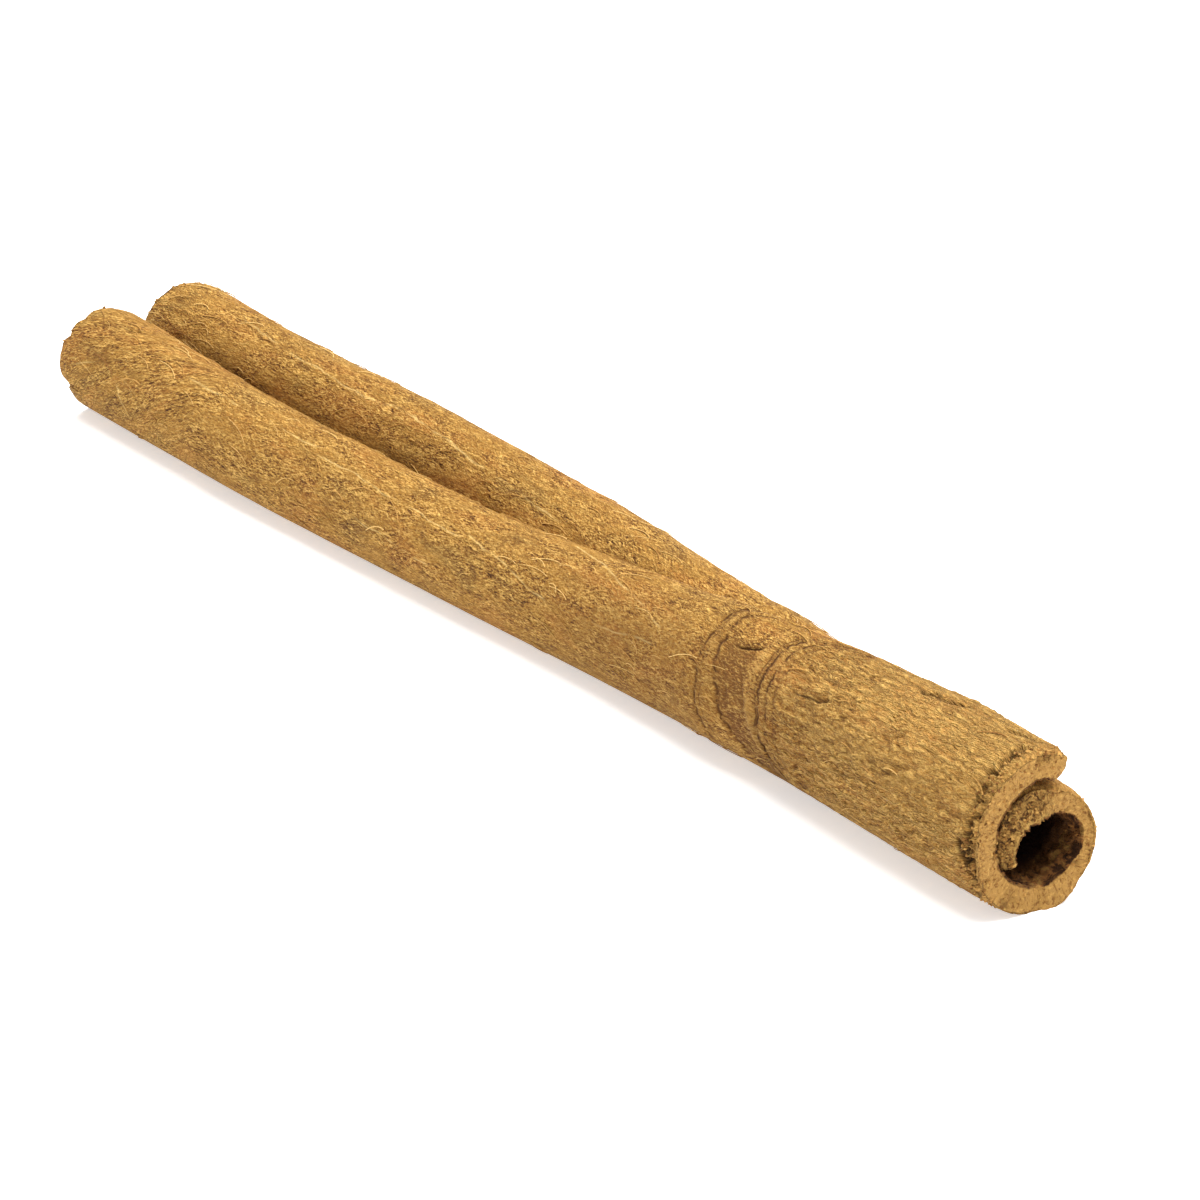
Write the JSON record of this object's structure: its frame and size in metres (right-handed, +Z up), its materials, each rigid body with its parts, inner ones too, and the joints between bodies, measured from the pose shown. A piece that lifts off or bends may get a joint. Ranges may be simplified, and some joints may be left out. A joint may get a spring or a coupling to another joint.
{
  "type": "cinnamon stick",
  "caption": "Dried cassia cinnamon stick: a sheet of brown bark curled from both edges into a double scroll that closes to a spiral at one end.",
  "frame": {"origin": "centre of the bounding box at its lowest level, on the flat foot between the two rolls", "axes": "X runs along the stick from the far end with two separate rolls to the near end with one spiral, Y runs across from the front part to the back roll, Z is up"},
  "size_m": [0.0818, 0.0116, 0.0083],
  "materials": {
    "cinnamon_bark": "dry, fibrous and matt"
  },
  "bodies": {
    "root": {"cinnamon_quill": "cinnamon_bark"}
  },
  "joints": []
}
